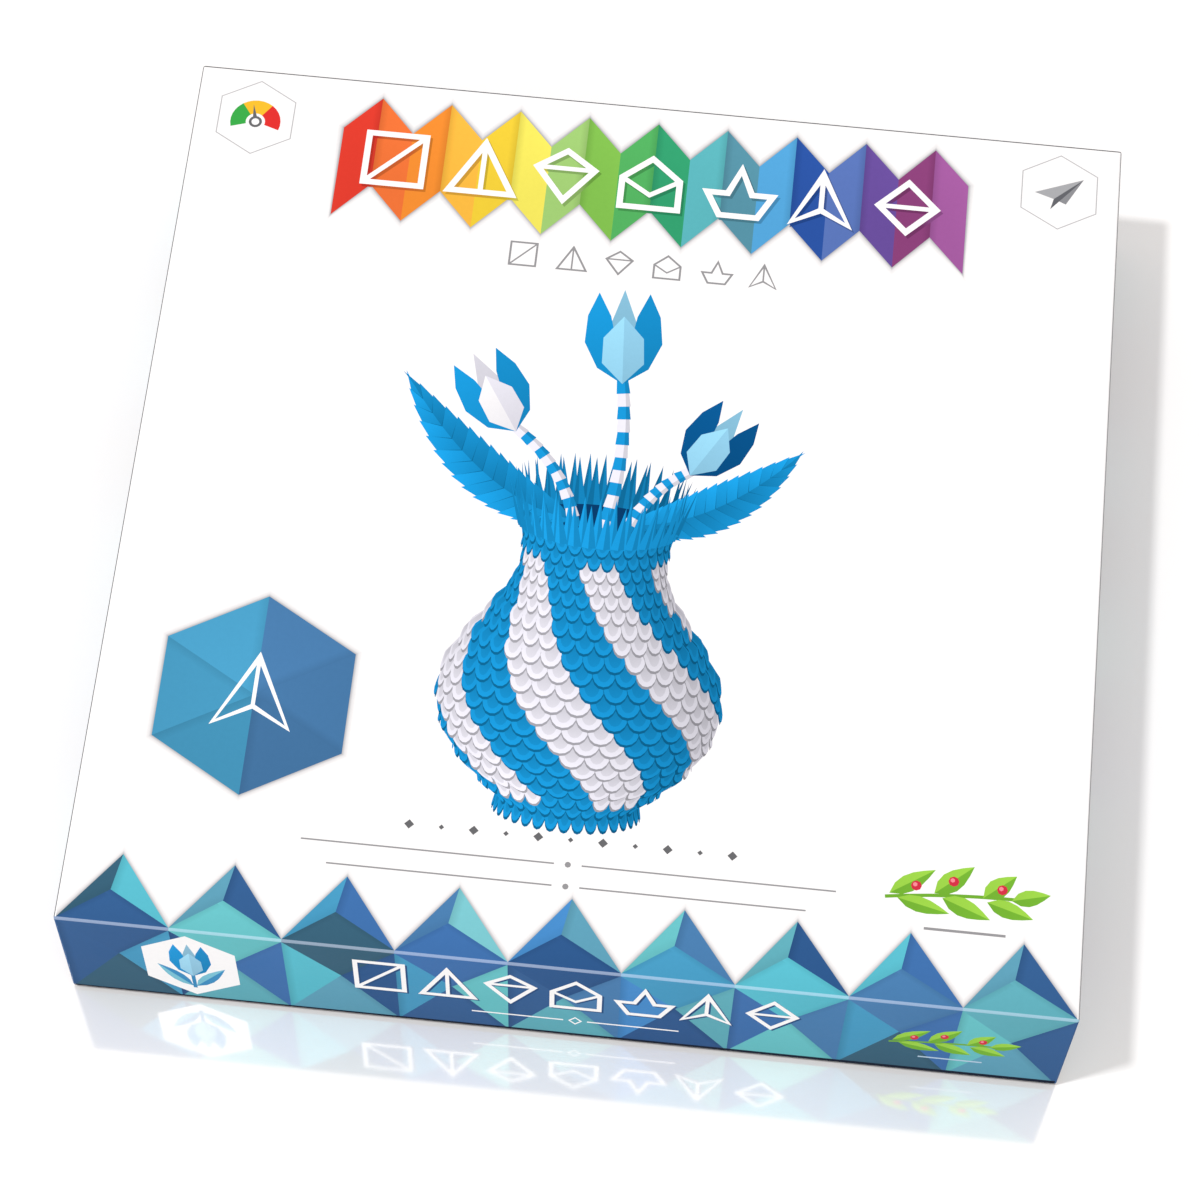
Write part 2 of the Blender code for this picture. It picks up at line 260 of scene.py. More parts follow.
def fade(first, second, start, end):
    """A paint that runs from the first ink at start to the second at end."""
    start, run = Vector(start), Vector(end) - Vector(start)

    def paint(point):
        share = (point - start).dot(run) / run.length_squared
        return mix(first, second, min(max(share, 0), 1))

    return paint


def creased(paint, start, across, width, depth):
    """The same paint, but darker towards a crease through start."""

    def darker(point):
        away = min(max((point - start).dot(across) / width, 0), 1)
        return shaded(paint(point), 1 - depth * (1 - away))

    return darker


class Drawing:
    """Fields of ink on one flat side. A later field lies on top of an earlier one."""

    def __init__(self, ground=None):
        self.ground = ground
        self.fields = []

    def add_stretched(self, other, factor):
        """Adds the fields of another drawing, made taller."""

        def squeezed(paint):
            return lambda point: paint(Vector((point.x, point.y / factor)))

        for points, paint in other.fields:
            taller = [Vector((point.x, point.y * factor)) for point in points]
            self.fill(taller, squeezed(paint) if callable(paint) else paint)

    def fill(self, points, paint):
        points = [Vector(point) for point in points]
        area = outline_area(points)
        if abs(area) > 0.005:
            self.fields.append((points if area > 0 else points[::-1], paint))

    def line(self, points, width, paint, closed=False):
        """A line of even width, one field for each of its straight runs."""
        points = [Vector(point) for point in points]
        count = len(points)
        sides = []
        for n, point in enumerate(points):
            before = points[n - 1] if n or closed else point - (points[1] - point)
            after = points[(n + 1) % count] if n < count - 1 or closed else 2 * point - before
            shift = corner_shift(before, point, after) * width / 2
            sides.append((point + shift, point - shift))
        for n in range(count if closed else count - 1):
            (right, left), (next_right, next_left) = sides[n], sides[(n + 1) % count]
            self.fill([right, next_right, next_left, left], paint)

    def soft_shadow(self, points, reach, strength):
        """A halo that is strongest at the outline and falls off in two steps."""

        def paint(point):
            away = min(distance_to_outline(point, points) / reach, 1)
            share = 1 - away / 0.4 * 0.6 if away < 0.4 else 0.4 * (1 - away) / 0.6
            return mix(self.ground, SHADOW_INK, share * strength)

        self.fill(outset(points, reach), paint)
        self.fill(outset(points, reach * 0.4), paint)

    def facet(self, points, colour, creases, depth, width=2.2, lean=0.05):
        """A folded face: a little lighter at its first corner, and darker along its creases."""
        points = [Vector(point) for point in points]
        count = len(points)
        light, dark = shaded(colour, 1 + lean), shaded(colour, 1 - lean)
        paint = fade(light, dark, points[0], middle_of(points[1:]))
        self.fill(points, paint)
        middle = middle_of(points)
        for n in creases:
            start, end = points[n], points[(n + 1) % count]
            before, after = points[n - 1], points[(n + 2) % count]
            run = (end - start).normalized()
            across = Vector((-run.y, run.x))
            if across.dot(middle - start) < 0:
                across = -across
            near_end = beside_crease(end, after, across, width)
            near_start = beside_crease(start, before, across, width)
            strip = [start, end, near_end, near_start]
            self.fill(strip, creased(paint, start, across, width, depth))


# The motifs of the print

def draw_peaks(drawing, half, low, count, height):
    """The folded peaks that rise along the front edge of the cover."""
    pitch = 2 * half / count
    outline = []
    peaks = []
    for n in range(count):
        left = Vector((-half + n * pitch, low))
        right = left + Vector((pitch, 0))
        top = left + Vector((pitch / 2, height))
        inner = left + Vector((pitch * 0.44, height * 0.47))
        peaks.append((left, right, top, inner))
        outline += [left, top]
    outline += [Vector((half, low))]
    drawing.soft_shadow(outline[::-1], SHADOW_REACH, 0.75)
    for (left, right, top, inner), inks in zip(peaks, PEAK_INKS):
        drawing.facet([top, left, inner], inks[0], creases=(1,), depth=0.10)
        drawing.facet([top, inner, right], inks[1], creases=(0,), depth=0.20)
        drawing.facet([inner, left, right], inks[2], creases=(0, 2), depth=0.14, width=1.4)


def draw_mosaic(drawing, half, low, high, count, shift):
    """The folded faces that cover a wall from its top fold to its rim."""
    pitch = 2 * half / count
    drop = (high - low) * 0.42
    tips = [Vector((-half + (n + 0.5) * pitch, high - drop)) for n in range(count)]
    tops = [Vector((-half + n * pitch, high)) for n in range(count + 1)]
    feet = [Vector((-half + n * pitch, low)) for n in range(count + 1)]
    for n in range(count):
        inks = PEAK_INKS[(n + shift) % len(PEAK_INKS)]
        foot = FOOT_INKS[(n + shift) % len(FOOT_INKS)]
        drawing.facet([tops[n], tips[n], tops[n + 1]], inks[2], creases=(1,), depth=0.10)
        drawing.facet([tips[n], feet[n], feet[n + 1]], foot, creases=(2,), depth=0.16)
    for n in range(count + 1):
        left_ink, right_ink = KITE_INKS[(n + shift) % len(KITE_INKS)]
        if n > 0:
            drawing.facet([tops[n], tips[n - 1], feet[n]], left_ink, creases=(0,), depth=0.10)
        if n < count:
            drawing.facet([tops[n], feet[n], tips[n]], right_ink, creases=(0,), depth=0.22)


def draw_ribbon(drawing, centre, half_width, half_height, slant):
    """A paper ribbon folded to and fro in the order of the rainbow."""
    count = 2 * len(RIBBON_INKS)
    pitch = 2 * half_width / count
    middles = [
        Vector(centre) + Vector((-half_width + n * pitch, slant if n % 2 else -slant))
        for n in range(count + 1)
    ]
    rise = Vector((0, half_height))
    outline = [m - rise for m in middles] + [m + rise for m in reversed(middles)]
    drawing.soft_shadow(outline, 1.8, 0.85)
    for n in range(count):
        left, right = middles[n], middles[n + 1]
        corners = [right + rise, left + rise, left - rise, right - rise]
        colour = RIBBON_INKS[n // 2][n % 2]
        crease = 1 if n % 2 else 3
        drawing.facet(corners, colour, creases=(crease,), depth=0.20, width=2.0)


FOLD_SIGNS = (
    (((0, 0), (1, 0), (1, 1), (0, 1)), ((0, 0), (1, 1))),
    (((0, 0), (1.1, 0), (0.55, 1)), ((0.55, 0), (0.55, 1))),
    (((0.5, 0), (1, 0.64), (0.5, 1), (0, 0.64)), ((0, 0.64), (1, 0.64))),
    (((0, 0), (1, 0), (1, 0.58), (0.5, 1), (0, 0.58)), ((0, 0.58), (0.5, 0.26), (1, 0.58))),
    (
        ((0, 0.45), (0.24, 0), (0.9, 0), (1.14, 0.45), (0.78, 0.45), (0.57, 0.95), (0.36, 0.45)),
        (),
    ),
    (((0, 0), (0.5, 0.28), (1, 0), (0.5, 1)), ((0.5, 0.28), (0.5, 1))),
    (((0, 0.5), (0.5, 0), (1, 0.5), (0.5, 1)), ((0, 0.5), (1, 0.5))),
)


def ribbon_shade(point):
    """A darker tone of the ribbon's panel under a point."""
    count = 2 * len(RIBBON_INKS)
    n = int((point.x + RIBBON_HALF_WIDTH) / (2 * RIBBON_HALF_WIDTH) * count)
    n = min(max(n, 0), count - 1)
    return shaded(RIBBON_INKS[n // 2][n % 2], 0.62)


def draw_fold_signs(drawing, left, low, colour, size, pitch, width, count=len(FOLD_SIGNS)):
    """A row of the plain outlines that folding diagrams use."""
    for n, (outline, fold) in enumerate(FOLD_SIGNS[:count]):
        corner = (left + n * pitch, low)
        drawing.line(turned(outline, corner, scale=size), width, colour, closed=True)
        if fold:
            drawing.line(turned(fold, corner, scale=size), width * 0.8, colour)


def draw_rules(drawing, centre_x):
    """A row of small diamonds and two thin rules with a dot."""
    for n in range(11):
        size = 1.25 if n % 2 == 0 else 0.7
        drawing.fill(even_sided((centre_x + (n - 5) * 8, -91), size, 4), DARK_GREY)
    for height, reach in ((-97.6, 66), (-103.4, 59)):
        for side in (-1, 1):
            ends = [(centre_x + side * 3.4, height), (centre_x + side * reach, height)]
            drawing.line(ends, 0.42, RULE_GREY)
        drawing.fill(even_sided((centre_x, height), 0.8, 8), RULE_GREY)


def draw_dial(drawing, centre):
    """A plain three-colour dial in a thin hexagon."""
    centre = Vector(centre)
    drawing.line(even_sided(centre, HEXAGON_RADIUS, 6), 0.3, OUTLINE_GREY, closed=True)
    middle = centre + Vector((0, -1.4))
    bands = (ink(60, 170, 75), ink(243, 190, 50), ink(222, 52, 50))
    degrees = 72
    for n, colour in enumerate(bands):
        first = math.radians(198 - n * degrees)
        angles = [first - math.radians(degrees) * step / 6 for step in range(7)]
        rays = [Vector((math.cos(a), math.sin(a))) for a in angles]
        outer = [middle + 6.8 * ray for ray in rays]
        inner = [middle + 2.6 * ray for ray in reversed(rays)]
        drawing.fill(outer + inner, colour)
    needle = [(-0.75, 0), (0, 5.6), (0.75, 0)]
    drawing.fill(turned(needle, middle, math.radians(12)), DARK_GREY)
    drawing.fill(even_sided(middle, 1.8, 16), DARK_GREY)
    drawing.fill(even_sided(middle, 1.05, 16), PAPER_WHITE)


def draw_plane_sign(drawing, centre):
    """A small folded plane in a thin hexagon."""
    drawing.line(even_sided(centre, HEXAGON_RADIUS, 6), 0.3, OUTLINE_GREY, closed=True)
    wing = [(-6.6, -0.6), (6.4, 4.6), (-1.4, -2.3)]
    keel = [(-1.4, -2.3), (6.4, 4.6), (-2.2, -5.6)]
    near_wing = [(-2.2, -5.6), (6.4, 4.6), (1.9, -3.7), (0.1, -2.9)]
    drawing.fill(turned(wing, centre), ink(168, 170, 174))
    drawing.fill(turned(keel, centre), ink(98, 100, 106))
    drawing.fill(turned(near_wing, centre), ink(140, 142, 147))


def draw_badge(drawing, centre, radius):
    """A six-sided folded badge with a thin folded unit drawn on it."""
    centre = Vector(centre)
    corners = even_sided(centre, radius, 6)
    drawing.soft_shadow(corners, SHADOW_REACH, 0.8)
    inks = (
        shaded(SKY_TEAL, 1.10), shaded(SKY_TEAL, 0.97), shaded(SKY_TEAL, 0.86),
        shaded(DUSTY_BLUE, 0.80), shaded(DUSTY_BLUE, 0.90), DUSTY_BLUE,
    )
    for n, colour in enumerate(inks):
        triangle = [centre, corners[n], corners[(n + 1) % 6]]
        drawing.facet(triangle, colour, creases=(0,), depth=0.14, width=2.4, lean=0.03)
    unit = [(-9.5, -8.5), (0, -3.2), (9.5, -8.5), (0, 10.5)]
    drawing.line(turned(unit, centre), 1.25, WHITE_INK, closed=True)
    drawing.line(turned([(0, -3.2), (0, 10.5)], centre), 1.0, WHITE_INK)


def draw_leaf(drawing, base, tip, width, light, dark):
    """A pointed leaf of two halves."""
    steps = 5
    run = tip - base
    across = Vector((-run.y, run.x)).normalized() * width / 2
    for side, colour in ((1, light), (-1, dark)):
        edge = [
            base + run * (step / steps)
            + side * across * math.sin(math.pi * (step / steps) ** 0.8)
            for step in range(1, steps)
        ]
        drawing.fill([base, *edge, tip], fade(colour, shaded(colour, 1.12), base, tip))


def draw_sprig(drawing, centre, scale, rule):
    """A lying sprig of green leaves with three buds, over a short rule."""
    light, dark = ink(150, 204, 72), ink(112, 172, 52)
    leaves = (
        ((-19, -2), (-8, 5.2), 4.6), ((-17, -3), (-4, -6), 4.2), ((-8, -1), (1.5, 7), 5.4),
        ((-6, -2), (6, -6.6), 5.0), ((4, -1), (12, 5.6), 5.2), ((5, -2), (16.5, -5.4), 4.6),
        ((11, -1), (20.5, 1.4), 4.4),
    )
    stem = turned(list(bent_line((-20, -3), (-4, -0.5), (15, -0.6), 6)), centre, scale=scale)
    drawing.line(stem, 0.9 * scale, dark)
    for base, tip, width in leaves:
        base, tip = turned((base, tip), centre, scale=scale)
        draw_leaf(drawing, base, tip, width * scale, light, dark)
    for place in ((-3.4, 2.6), (8.6, 1.6), (-12.5, 0.6)):
        bud = turned([place], centre, scale=scale)[0]
        glint = bud + Vector((-0.3, 0.3)) * scale
        drawing.fill(even_sided(bud, 1.35 * scale, 8), ink(206, 50, 70))
        drawing.fill(even_sided(glint, 0.6 * scale, 6), ink(240, 140, 150))
    ends = turned([(-10, -10.4), (10, -10.4)], centre, scale=scale)
    drawing.line(ends, 0.7 * scale, rule)


BACK_PETAL = ((-4.6, 14), (0, 28), (4.6, 14), (0, 8))
LEFT_PETAL = ((0, 0), (-6.6, 4.5), (-10, 12), (-9.4, 20), (-6.6, 27), (-3.4, 20), (-1.4, 10))
LEFT_FRONT = ((0, 0), (-5.4, 6), (-5.2, 13.5), (0, 20))


def draw_tulip(drawing, base, turn, scale, outer, inner):
    """A folded tulip: one petal behind, two beside and a creased one in front."""
    foot, head = turned([(0, 0), (0, 26)], base, turn, scale)
    for petal, colour, tone in (
        (BACK_PETAL, inner, 0.74),
        (LEFT_PETAL, outer, 1.0),
        (mirrored(LEFT_PETAL), outer, 0.82),
        (LEFT_FRONT, inner, 1.12),
        (mirrored(LEFT_FRONT), inner, 0.93),
    ):
        low, high = shaded(shaded(colour, tone), 0.82), shaded(shaded(colour, tone), 1.06)
        drawing.fill(turned(petal, base, turn, scale), fade(low, high, foot, head))


def draw_stem(drawing, start, middle, end, width, first, second):
    """A stem of short folded units in turn of two inks."""
    points = list(bent_line(start, middle, end, 12))
    for n, (here, ahead) in enumerate(zip(points, points[1:])):
        run = ahead - here
        across = Vector((run.y, -run.x)).normalized() * width / 2
        colour = first if n % 2 else second
        reach = ahead + run * 0.2
        edge, far_edge = here + across, reach + across * 0.8
        drawing.fill([here - across, edge, far_edge, reach - across * 0.8], colour)
        side = [here + across * 0.3, edge, far_edge, reach + across * 0.3]
        drawing.fill(side, shaded(colour, 0.72))


def draw_blade(drawing, start, middle, end, width, colour):
    """A long leaf in fine pleats, over its own dark underside."""
    pleats = 15
    spine = list(bent_line(start, middle, end, pleats))
    edges = {1: [], -1: []}
    for n, here in enumerate(spine):
        run = (spine[min(n + 1, pleats)] - spine[min(n, pleats - 1)]).normalized()
        across = Vector((-run.y, run.x))
        reach = width * math.sin(math.pi * min(0.12 + 0.88 * n / pleats, 1)) ** 0.8
        for side, edge in edges.items():
            edge.append(here + across * side * reach + run * width * 0.5)
    underside = [spine[0], *edges[1], *reversed(edges[-1])]
    drawing.fill(underside, shaded(colour, 0.42))
    for n in range(pleats):
        here, ahead = spine[n], spine[n + 1]
        for side, tone in ((1, 1.08), (-1, 0.8)):
            near, far = edges[side][n], edges[side][n + 1]
            tip = far + (far - near) * 0.25 + (far - ahead) * 0.12
            gap = near.lerp(far, 0.2)
            fold = shaded(colour, tone * (1.0 if n % 2 else 0.9))
            light = fade(shaded(fold, 0.8), shaded(fold, 1.12), here, far)
            drawing.fill([here.lerp(ahead, 0.06), ahead, tip, gap], light)


VASE_PROFILE = (
    (0, 17), (5, 22), (12, 28.5), (20, 33), (29, 35), (38, 34), (47, 30),
    (55, 24.5), (62, 20), (69, 17.6), (76, 17.8), (82, 20),
)
VASE_RIM = VASE_PROFILE[-1][0]
LEFT_OF_UNIT = ((-1, 0), (-1, 0.5), (-0.93, 0.68), (-0.74, 0.84), (-0.42, 0.96), (0, 1))
RIGHT_OF_UNIT = mirrored(reversed(LEFT_OF_UNIT[:-1]))
VASE_TILT = math.radians(17)
LIGHT_SIDE = math.radians(-30)


def vase_radius(height):
    for (low, first), (high, second) in zip(VASE_PROFILE, VASE_PROFILE[1:]):
        if height <= high:
            share = (height - low) / (high - low)
            return first + (second - first) * share * share * (3 - 2 * share)
    return VASE_PROFILE[-1][1]


def on_vase(foot, radius, height, angle):
    """Where a point round the vase shows in the picture, seen from a little above."""
    forward = radius * math.cos(angle)
    rise = height * math.cos(VASE_TILT) - forward * math.sin(VASE_TILT)
    return Vector(foot) + Vector((radius * math.sin(angle), rise))


def vase_light(angle):
    return 0.66 + 0.36 * max(math.cos(angle - LIGHT_SIDE), 0)


def unit_outline(foot, middle, length, angle, half_angle, lift, top=0.0, tip=1.0):
    """The tongue of a folded unit, between two shares of its length. Its tip is lifted off."""
    points = []
    for across, along in LEFT_OF_UNIT + RIGHT_OF_UNIT:
        height = middle + length * (0.56 - top - (tip - top) * along)
        radius = min(vase_radius(min(height, VASE_RIM)), vase_radius(middle)) + lift * along
        points.append(on_vase(foot, radius, height, angle + half_angle * across))
    return points


def draw_vase_units(drawing, foot, rows, around, spacing, white, blue):
    """Rows of folded units, each row over the one below, striped in a spiral."""
    half = math.pi / around * 1.06
    for row in range(rows):
        for n in range(-around // 4, around // 4 + 1):
            place = n + 0.5 * (row % 2)
            angle = 2 * math.pi * place / around
            if abs(angle) > math.radians(87):
                continue
            striped = (place + 0.5 * row) % 6 < 3
            plain = row < 2 or row >= rows - 2
            colour = shaded(blue if plain or striped else white, vase_light(angle))
            unit = (foot, row * spacing, 2.1 * spacing, angle)
            spine = unit_outline(*unit, 0, lift=1.6)
            ends = spine[0], spine[len(LEFT_OF_UNIT) - 1]
            under = unit_outline(*unit, half, lift=1.5, top=0.1, tip=1.1)
            drawing.fill(under, shaded(colour, 0.42))
            body = unit_outline(*unit, half, lift=1.6)
            drawing.fill(body, fade(shaded(colour, 0.8), shaded(colour, 1.04), *ends))
            pocket = unit_outline(*unit, half * 0.62, lift=1.2, tip=0.84)
            drawing.fill(pocket, fade(shaded(colour, 0.6), shaded(colour, 0.9), *ends))


def draw_vase_tips(drawing, foot, around, back, height, blue):
    """The pointed ends that stand round the mouth, on its far side or on its near side."""
    radius, low = vase_radius(VASE_RIM), VASE_RIM - 3
    for row, (lean, rise) in enumerate(((2.2, 1.0), (4.6, 0.86))):
        for n in range(-around // 2, around // 2):
            angle = 2 * math.pi * (n + 0.5 * row) / around
            if (abs(angle) > math.radians(93)) != back:
                continue
            half = math.pi / around
            left = on_vase(foot, radius, low, angle - half)
            right = on_vase(foot, radius, low, angle + half)
            middle = on_vase(foot, radius + 0.8, low, angle)
            tip = on_vase(foot, radius + lean, VASE_RIM + height * rise, angle)
            light = (0.62 if back else 1.0) * vase_light(angle if not back else math.pi - angle)
            drawing.fill([left, middle, tip], shaded(blue, light * 1.12))
            drawing.fill([middle, right, tip], shaded(blue, light * 0.78))


def draw_vase_picture(drawing, centre_x):
    """A vase of folded units that holds three folded tulips and two pleated leaves."""
    foot = Vector((centre_x, VASE_FOOT))
    white, blue = ink(236, 236, 248), ink(26, 152, 218)
    deep, pale = ink(10, 88, 148), ink(150, 212, 242)
    around, height = 34, 13
    draw_vase_tips(drawing, foot, around, True, height, blue)
    turns = (2 * math.pi * n / 32 for n in range(32))
    mouth = [on_vase(foot, vase_radius(VASE_RIM), VASE_RIM - 2, turn) for turn in turns]
    drawing.fill(mouth, ink(8, 58, 104))
    root = foot + Vector((0, VASE_RIM * math.cos(VASE_TILT)))

    def at(x, y):
        return root + Vector((x, y))

    draw_blade(drawing, at(-7, -1), at(-30, 2), at(-52, 34), 6.4, blue)
    draw_blade(drawing, at(8, -1), at(28, 0), at(48, 22), 6.0, blue)
    draw_stem(drawing, at(-6, -3), at(-10, 14), at(-24, 24), 3.4, white, blue)
    draw_stem(drawing, at(7, -3), at(12, 10), at(22, 16), 3.4, white, blue)
    draw_stem(drawing, at(1, -4), at(6, 18), at(2, 41), 3.6, blue, white)
    draw_tulip(drawing, at(-24, 23), math.radians(32), 0.92, blue, white)
    draw_tulip(drawing, at(22, 15), math.radians(-30), 0.86, deep, pale)
    draw_tulip(drawing, at(2, 40), math.radians(4), 1.02, blue, pale)
    draw_vase_units(drawing, foot, 22, around, 3.8, white, blue)
    draw_vase_tips(drawing, foot, around, False, height, blue)


def draw_small_picture(drawing, centre):
    """A white hexagon with a small tulip between two leaves."""
    drawing.fill(even_sided(centre, 13.4, 6), WHITE_INK)
    blue, pale = ink(26, 152, 218), ink(158, 214, 242)
    base = Vector(centre) + Vector((0, -4.8))
    green, dark = ink(120, 190, 210), ink(60, 140, 190)
    for side in (-1, 1):
        ends = turned([(side * 0.4, -4.6), (side * 8.5, 4.5)], base)
        draw_leaf(drawing, *ends, 3.6, green, dark)
    drawing.line(turned([(0, -5.4), (0, 1)], base), 1.0, dark)
    draw_tulip(drawing, base, 0, 0.52, blue, pale)


# Cutting a drawing into a flat side

class Side:
    """A flat side of the lid, seen from outside: millimetres to the right and up."""

    def __init__(self, origin, right, up):
        self.origin, self.right, self.up = Vector(origin), Vector(right), Vector(up)
        self.out = self.right.cross(self.up)

    def flat(self, place):
        away = (place - self.origin) / MM
        return Vector((away.dot(self.right), away.dot(self.up)))

    def solid(self, point):
        return self.origin + (self.right * point.x + self.up * point.y) * MM

    def face(self, bm):
        """The widest face that lies in this side."""
        lying = [
            face for face in bm.faces
            if face.normal.dot(self.out) > 0.999
            and abs((face.verts[0].co - self.origin).dot(self.out)) < 0.01 * MM
        ]
        return max(lying, key=lambda face: face.calc_area())


def split_border(face, side, points):
    """Puts a vertex on the face's border at each point that lies on it, and lists them all."""
    tolerance = 0.002
    found = {}
    for loop in list(face.loops):
        start, end, edge = loop.vert, loop.link_loop_next.vert, loop.edge
        first, last = side.flat(start.co), side.flat(end.co)
        run = last - first
        on_edge = []
        for number, point in points.items():
            share = (point - first).dot(run) / run.length_squared
            off = (point - first - share * run).length
            if off < tolerance and -tolerance < share * run.length < run.length + tolerance:
                on_edge.append((share * run.length, number))
        here, gone = start, 0.0
        for length, number in sorted(on_edge):
            if length < tolerance:
                found[number] = start
            elif length > run.length - tolerance:
                found[number] = end
            else:
                fac = (length - gone) / (run.length - gone)
                edge, here = bmesh.utils.edge_split(edge, here, fac)
                edge = next(e for e in here.link_edges if end in e.verts)
                gone = length
                found[number] = here
    return found


def cut_up(border, drawing):
    """Cuts a border along a drawing: the points, and the corners and top field of each piece.

    The triangulation now and then marks what lies outside a field instead of what lies inside.
    Such a field shows by an area that is far too large, and its marks are turned round.
    """
    points, outlines = list(border), [list(range(len(border)))]
    for field, _ in drawing.fields:
        outlines.append(list(range(len(points), len(points) + len(field))))
        points += field
    flat, _, triangles, _, _, sources = delaunay_2d_cdt(points, [], outlines, 1, SAME_POINT, True)
    cut_areas = [0.0] * len(outlines)
    for corners, source in zip(triangles, sources):
        area = outline_area([flat[corner] for corner in corners])
        for number in source:
            cut_areas[number] += area
    inside_out = {
        number for number, (field, _) in enumerate(drawing.fields, 1)
        if cut_areas[number] > 2 * outline_area(field) + 1
    }
    pieces = [
        (corners, max(inside_out.symmetric_difference(source)))
        for corners, source in zip(triangles, sources)
        if 0 in source and len(set(corners)) == 3
    ]
    return flat, pieces


def imprint(bm, side, drawing, layer):
    """Cuts the side's face along the drawing and gives each piece its ink."""
    face = side.face(bm)
    smooth, material = face.smooth, face.material_index
    flat, pieces = cut_up([side.flat(vert.co) for vert in face.verts], drawing)
    used = sorted({corner for corners, _ in pieces for corner in corners})
    verts = split_border(face, side, {number: flat[number] for number in used})
    for number in used:
        if number not in verts:
            verts[number] = bm.verts.new(side.solid(flat[number]))
    bmesh.ops.delete(bm, geom=[face], context="FACES_ONLY")
    for corners, field in pieces:
        ring = [verts[corner] for corner in corners]
        if len(set(ring)) < 3:
            continue
        cut = bm.faces.new(ring)
        cut.smooth, cut.material_index = smooth, material
        paint = drawing.fields[field - 1][1] if field else drawing.ground
        for loop, corner in zip(cut.loops, corners):
            tone = paint(flat[corner]) if callable(paint) else paint
            loop[layer] = (*tone, 1.0)


def cover_drawing(settings, half):
    """The print of the cover. Its edges run a little over the border, where they are cut off."""
    drawing = Drawing(PAPER_WHITE)
    draw_ribbon(drawing, (0, 100.6), RIBBON_HALF_WIDTH, half_height=13.8, slant=5.2)
    signs = {"size": 15.5, "pitch": 23, "width": 1.7}
    draw_fold_signs(drawing, -76.5, 92.1, ribbon_shade, **signs)
    draw_fold_signs(drawing, -77.2, 92.9, WHITE_INK, **signs)
    draw_fold_signs(drawing, -35.5, 71.5, RULE_GREY, size=7.0, pitch=12.8, width=0.55, count=6)
    draw_dial(drawing, (-108.4, 109.8))
    draw_plane_sign(drawing, (108.8, 110))
    draw_badge(drawing, (-84.8, -60.3), 27.5)
    draw_rules(drawing, -2)
    draw_sprig(drawing, (96, -94.5), 1.0, RULE_GREY)
    draw_vase_picture(drawing, -4)
    height = settings.peak_height / MM
    draw_peaks(drawing, half + OVERRUN, -half - OVERRUN, settings.peak_count, height)
    return drawing


def front_marks():
    """What lies on the front wall's folded faces, before it is made taller."""
    marks = Drawing()
    draw_small_picture(marks, (-93, 15.8))
    signs = {"size": 11.8, "pitch": 16.2, "width": 1.2}
    draw_fold_signs(marks, -51, 13.6, shaded(NAVY, 0.8), **signs)
    draw_fold_signs(marks, -51.5, 14, WHITE_INK, **signs)
    for side in (-1, 1):
        marks.line([(3 + side * 3, 8), (3 + side * 26, 8)], 0.5, WHITE_INK)
    marks.line(even_sided((3, 8), 1.5, 4), 0.4, WHITE_INK, closed=True)
    draw_sprig(marks, (97, 16), 0.8, ink(180, 205, 225))
    return marks


def wall_drawing(settings, half, low, high, shift, is_front):
    """The print of a wall, whose inks are shifted from those of the front wall."""
    drawing = Drawing(NAVY)
    far, rim = half + OVERRUN, low - OVERRUN
    draw_mosaic(drawing, far, rim, high + OVERRUN, settings.peak_count, shift)
    left_rise, right_rise = FRONT_RIM_SHADOW if is_front else SIDE_RIM_SHADOW
    # Painted shadow along the foot of the wall, thicker at the front wall's right end.
    rim_shadow_band = [(-far, rim), (far, rim), (far, low + right_rise), (-far, low + left_rise)]
    drawing.fill(rim_shadow_band, RIM_SHADOW_NAVY)
    if is_front:
        drawing.add_stretched(front_marks(), settings.front_stretch)
    return drawing


def lid_sides():
    """The cover, and the front, right, back and left wall."""
    return (
        Side((0, 0, LID_HIGH.z), (1, 0, 0), (0, 1, 0)),
        Side((0, LID_LOW.y, 0), (1, 0, 0), (0, 0, 1)),
        Side((LID_HIGH.x, 0, 0), (0, 1, 0), (0, 0, 1)),
        Side((0, LID_HIGH.y, 0), (-1, 0, 0), (0, 0, 1)),
        Side((LID_LOW.x, 0, 0), (0, -1, 0), (0, 0, 1)),
    )


def cut_front_fold(bm, half, count):
    """Cuts the rounded front fold where two peaks meet, so that each has its own ink there."""
    for n in range(1, count):
        fold = [
            face for face in bm.faces
            if face.normal.y < -0.1 and face.normal.z > 0.1 and abs(face.normal.x) < 0.1
        ]
        edges = {edge for face in fold for edge in face.edges}
        verts = {vert for face in fold for vert in face.verts}
        bmesh.ops.bisect_plane(
            bm,
            geom=[*verts, *edges, *fold],
            dist=MERGE_DISTANCE * MM,
            plane_co=((-half + n * 2 * half / count) * MM, 0, 0),
            plane_no=(1, 0, 0),
        )


